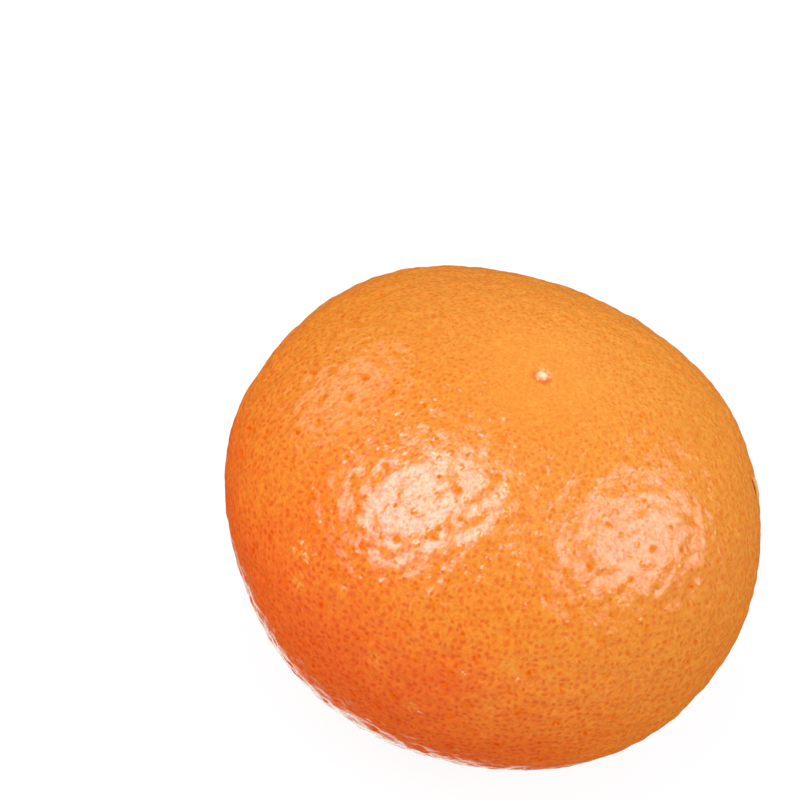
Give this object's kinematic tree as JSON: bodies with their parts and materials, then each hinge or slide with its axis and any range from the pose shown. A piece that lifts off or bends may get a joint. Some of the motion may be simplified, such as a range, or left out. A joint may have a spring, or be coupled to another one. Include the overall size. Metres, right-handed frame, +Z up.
{
  "type": "grapefruit",
  "caption": "Whole ripe grapefruit, a slightly squat uneven globe with pitted peel, a small style nub on top and a stem basin with its button underneath.",
  "frame": {"origin": "on the surface the fruit stands on, in the middle of its bounding box", "axes": "+Z up along the fruit's core from the stem end to the style end; X along the wider way across; Y front to back"},
  "size_m": [0.1058, 0.101, 0.0832],
  "materials": {
    "peel": "waxy satin",
    "button": "dry matt"
  },
  "bodies": {
    "root": {"fruit": "peel", "stem_button": "button"}
  },
  "joints": []
}
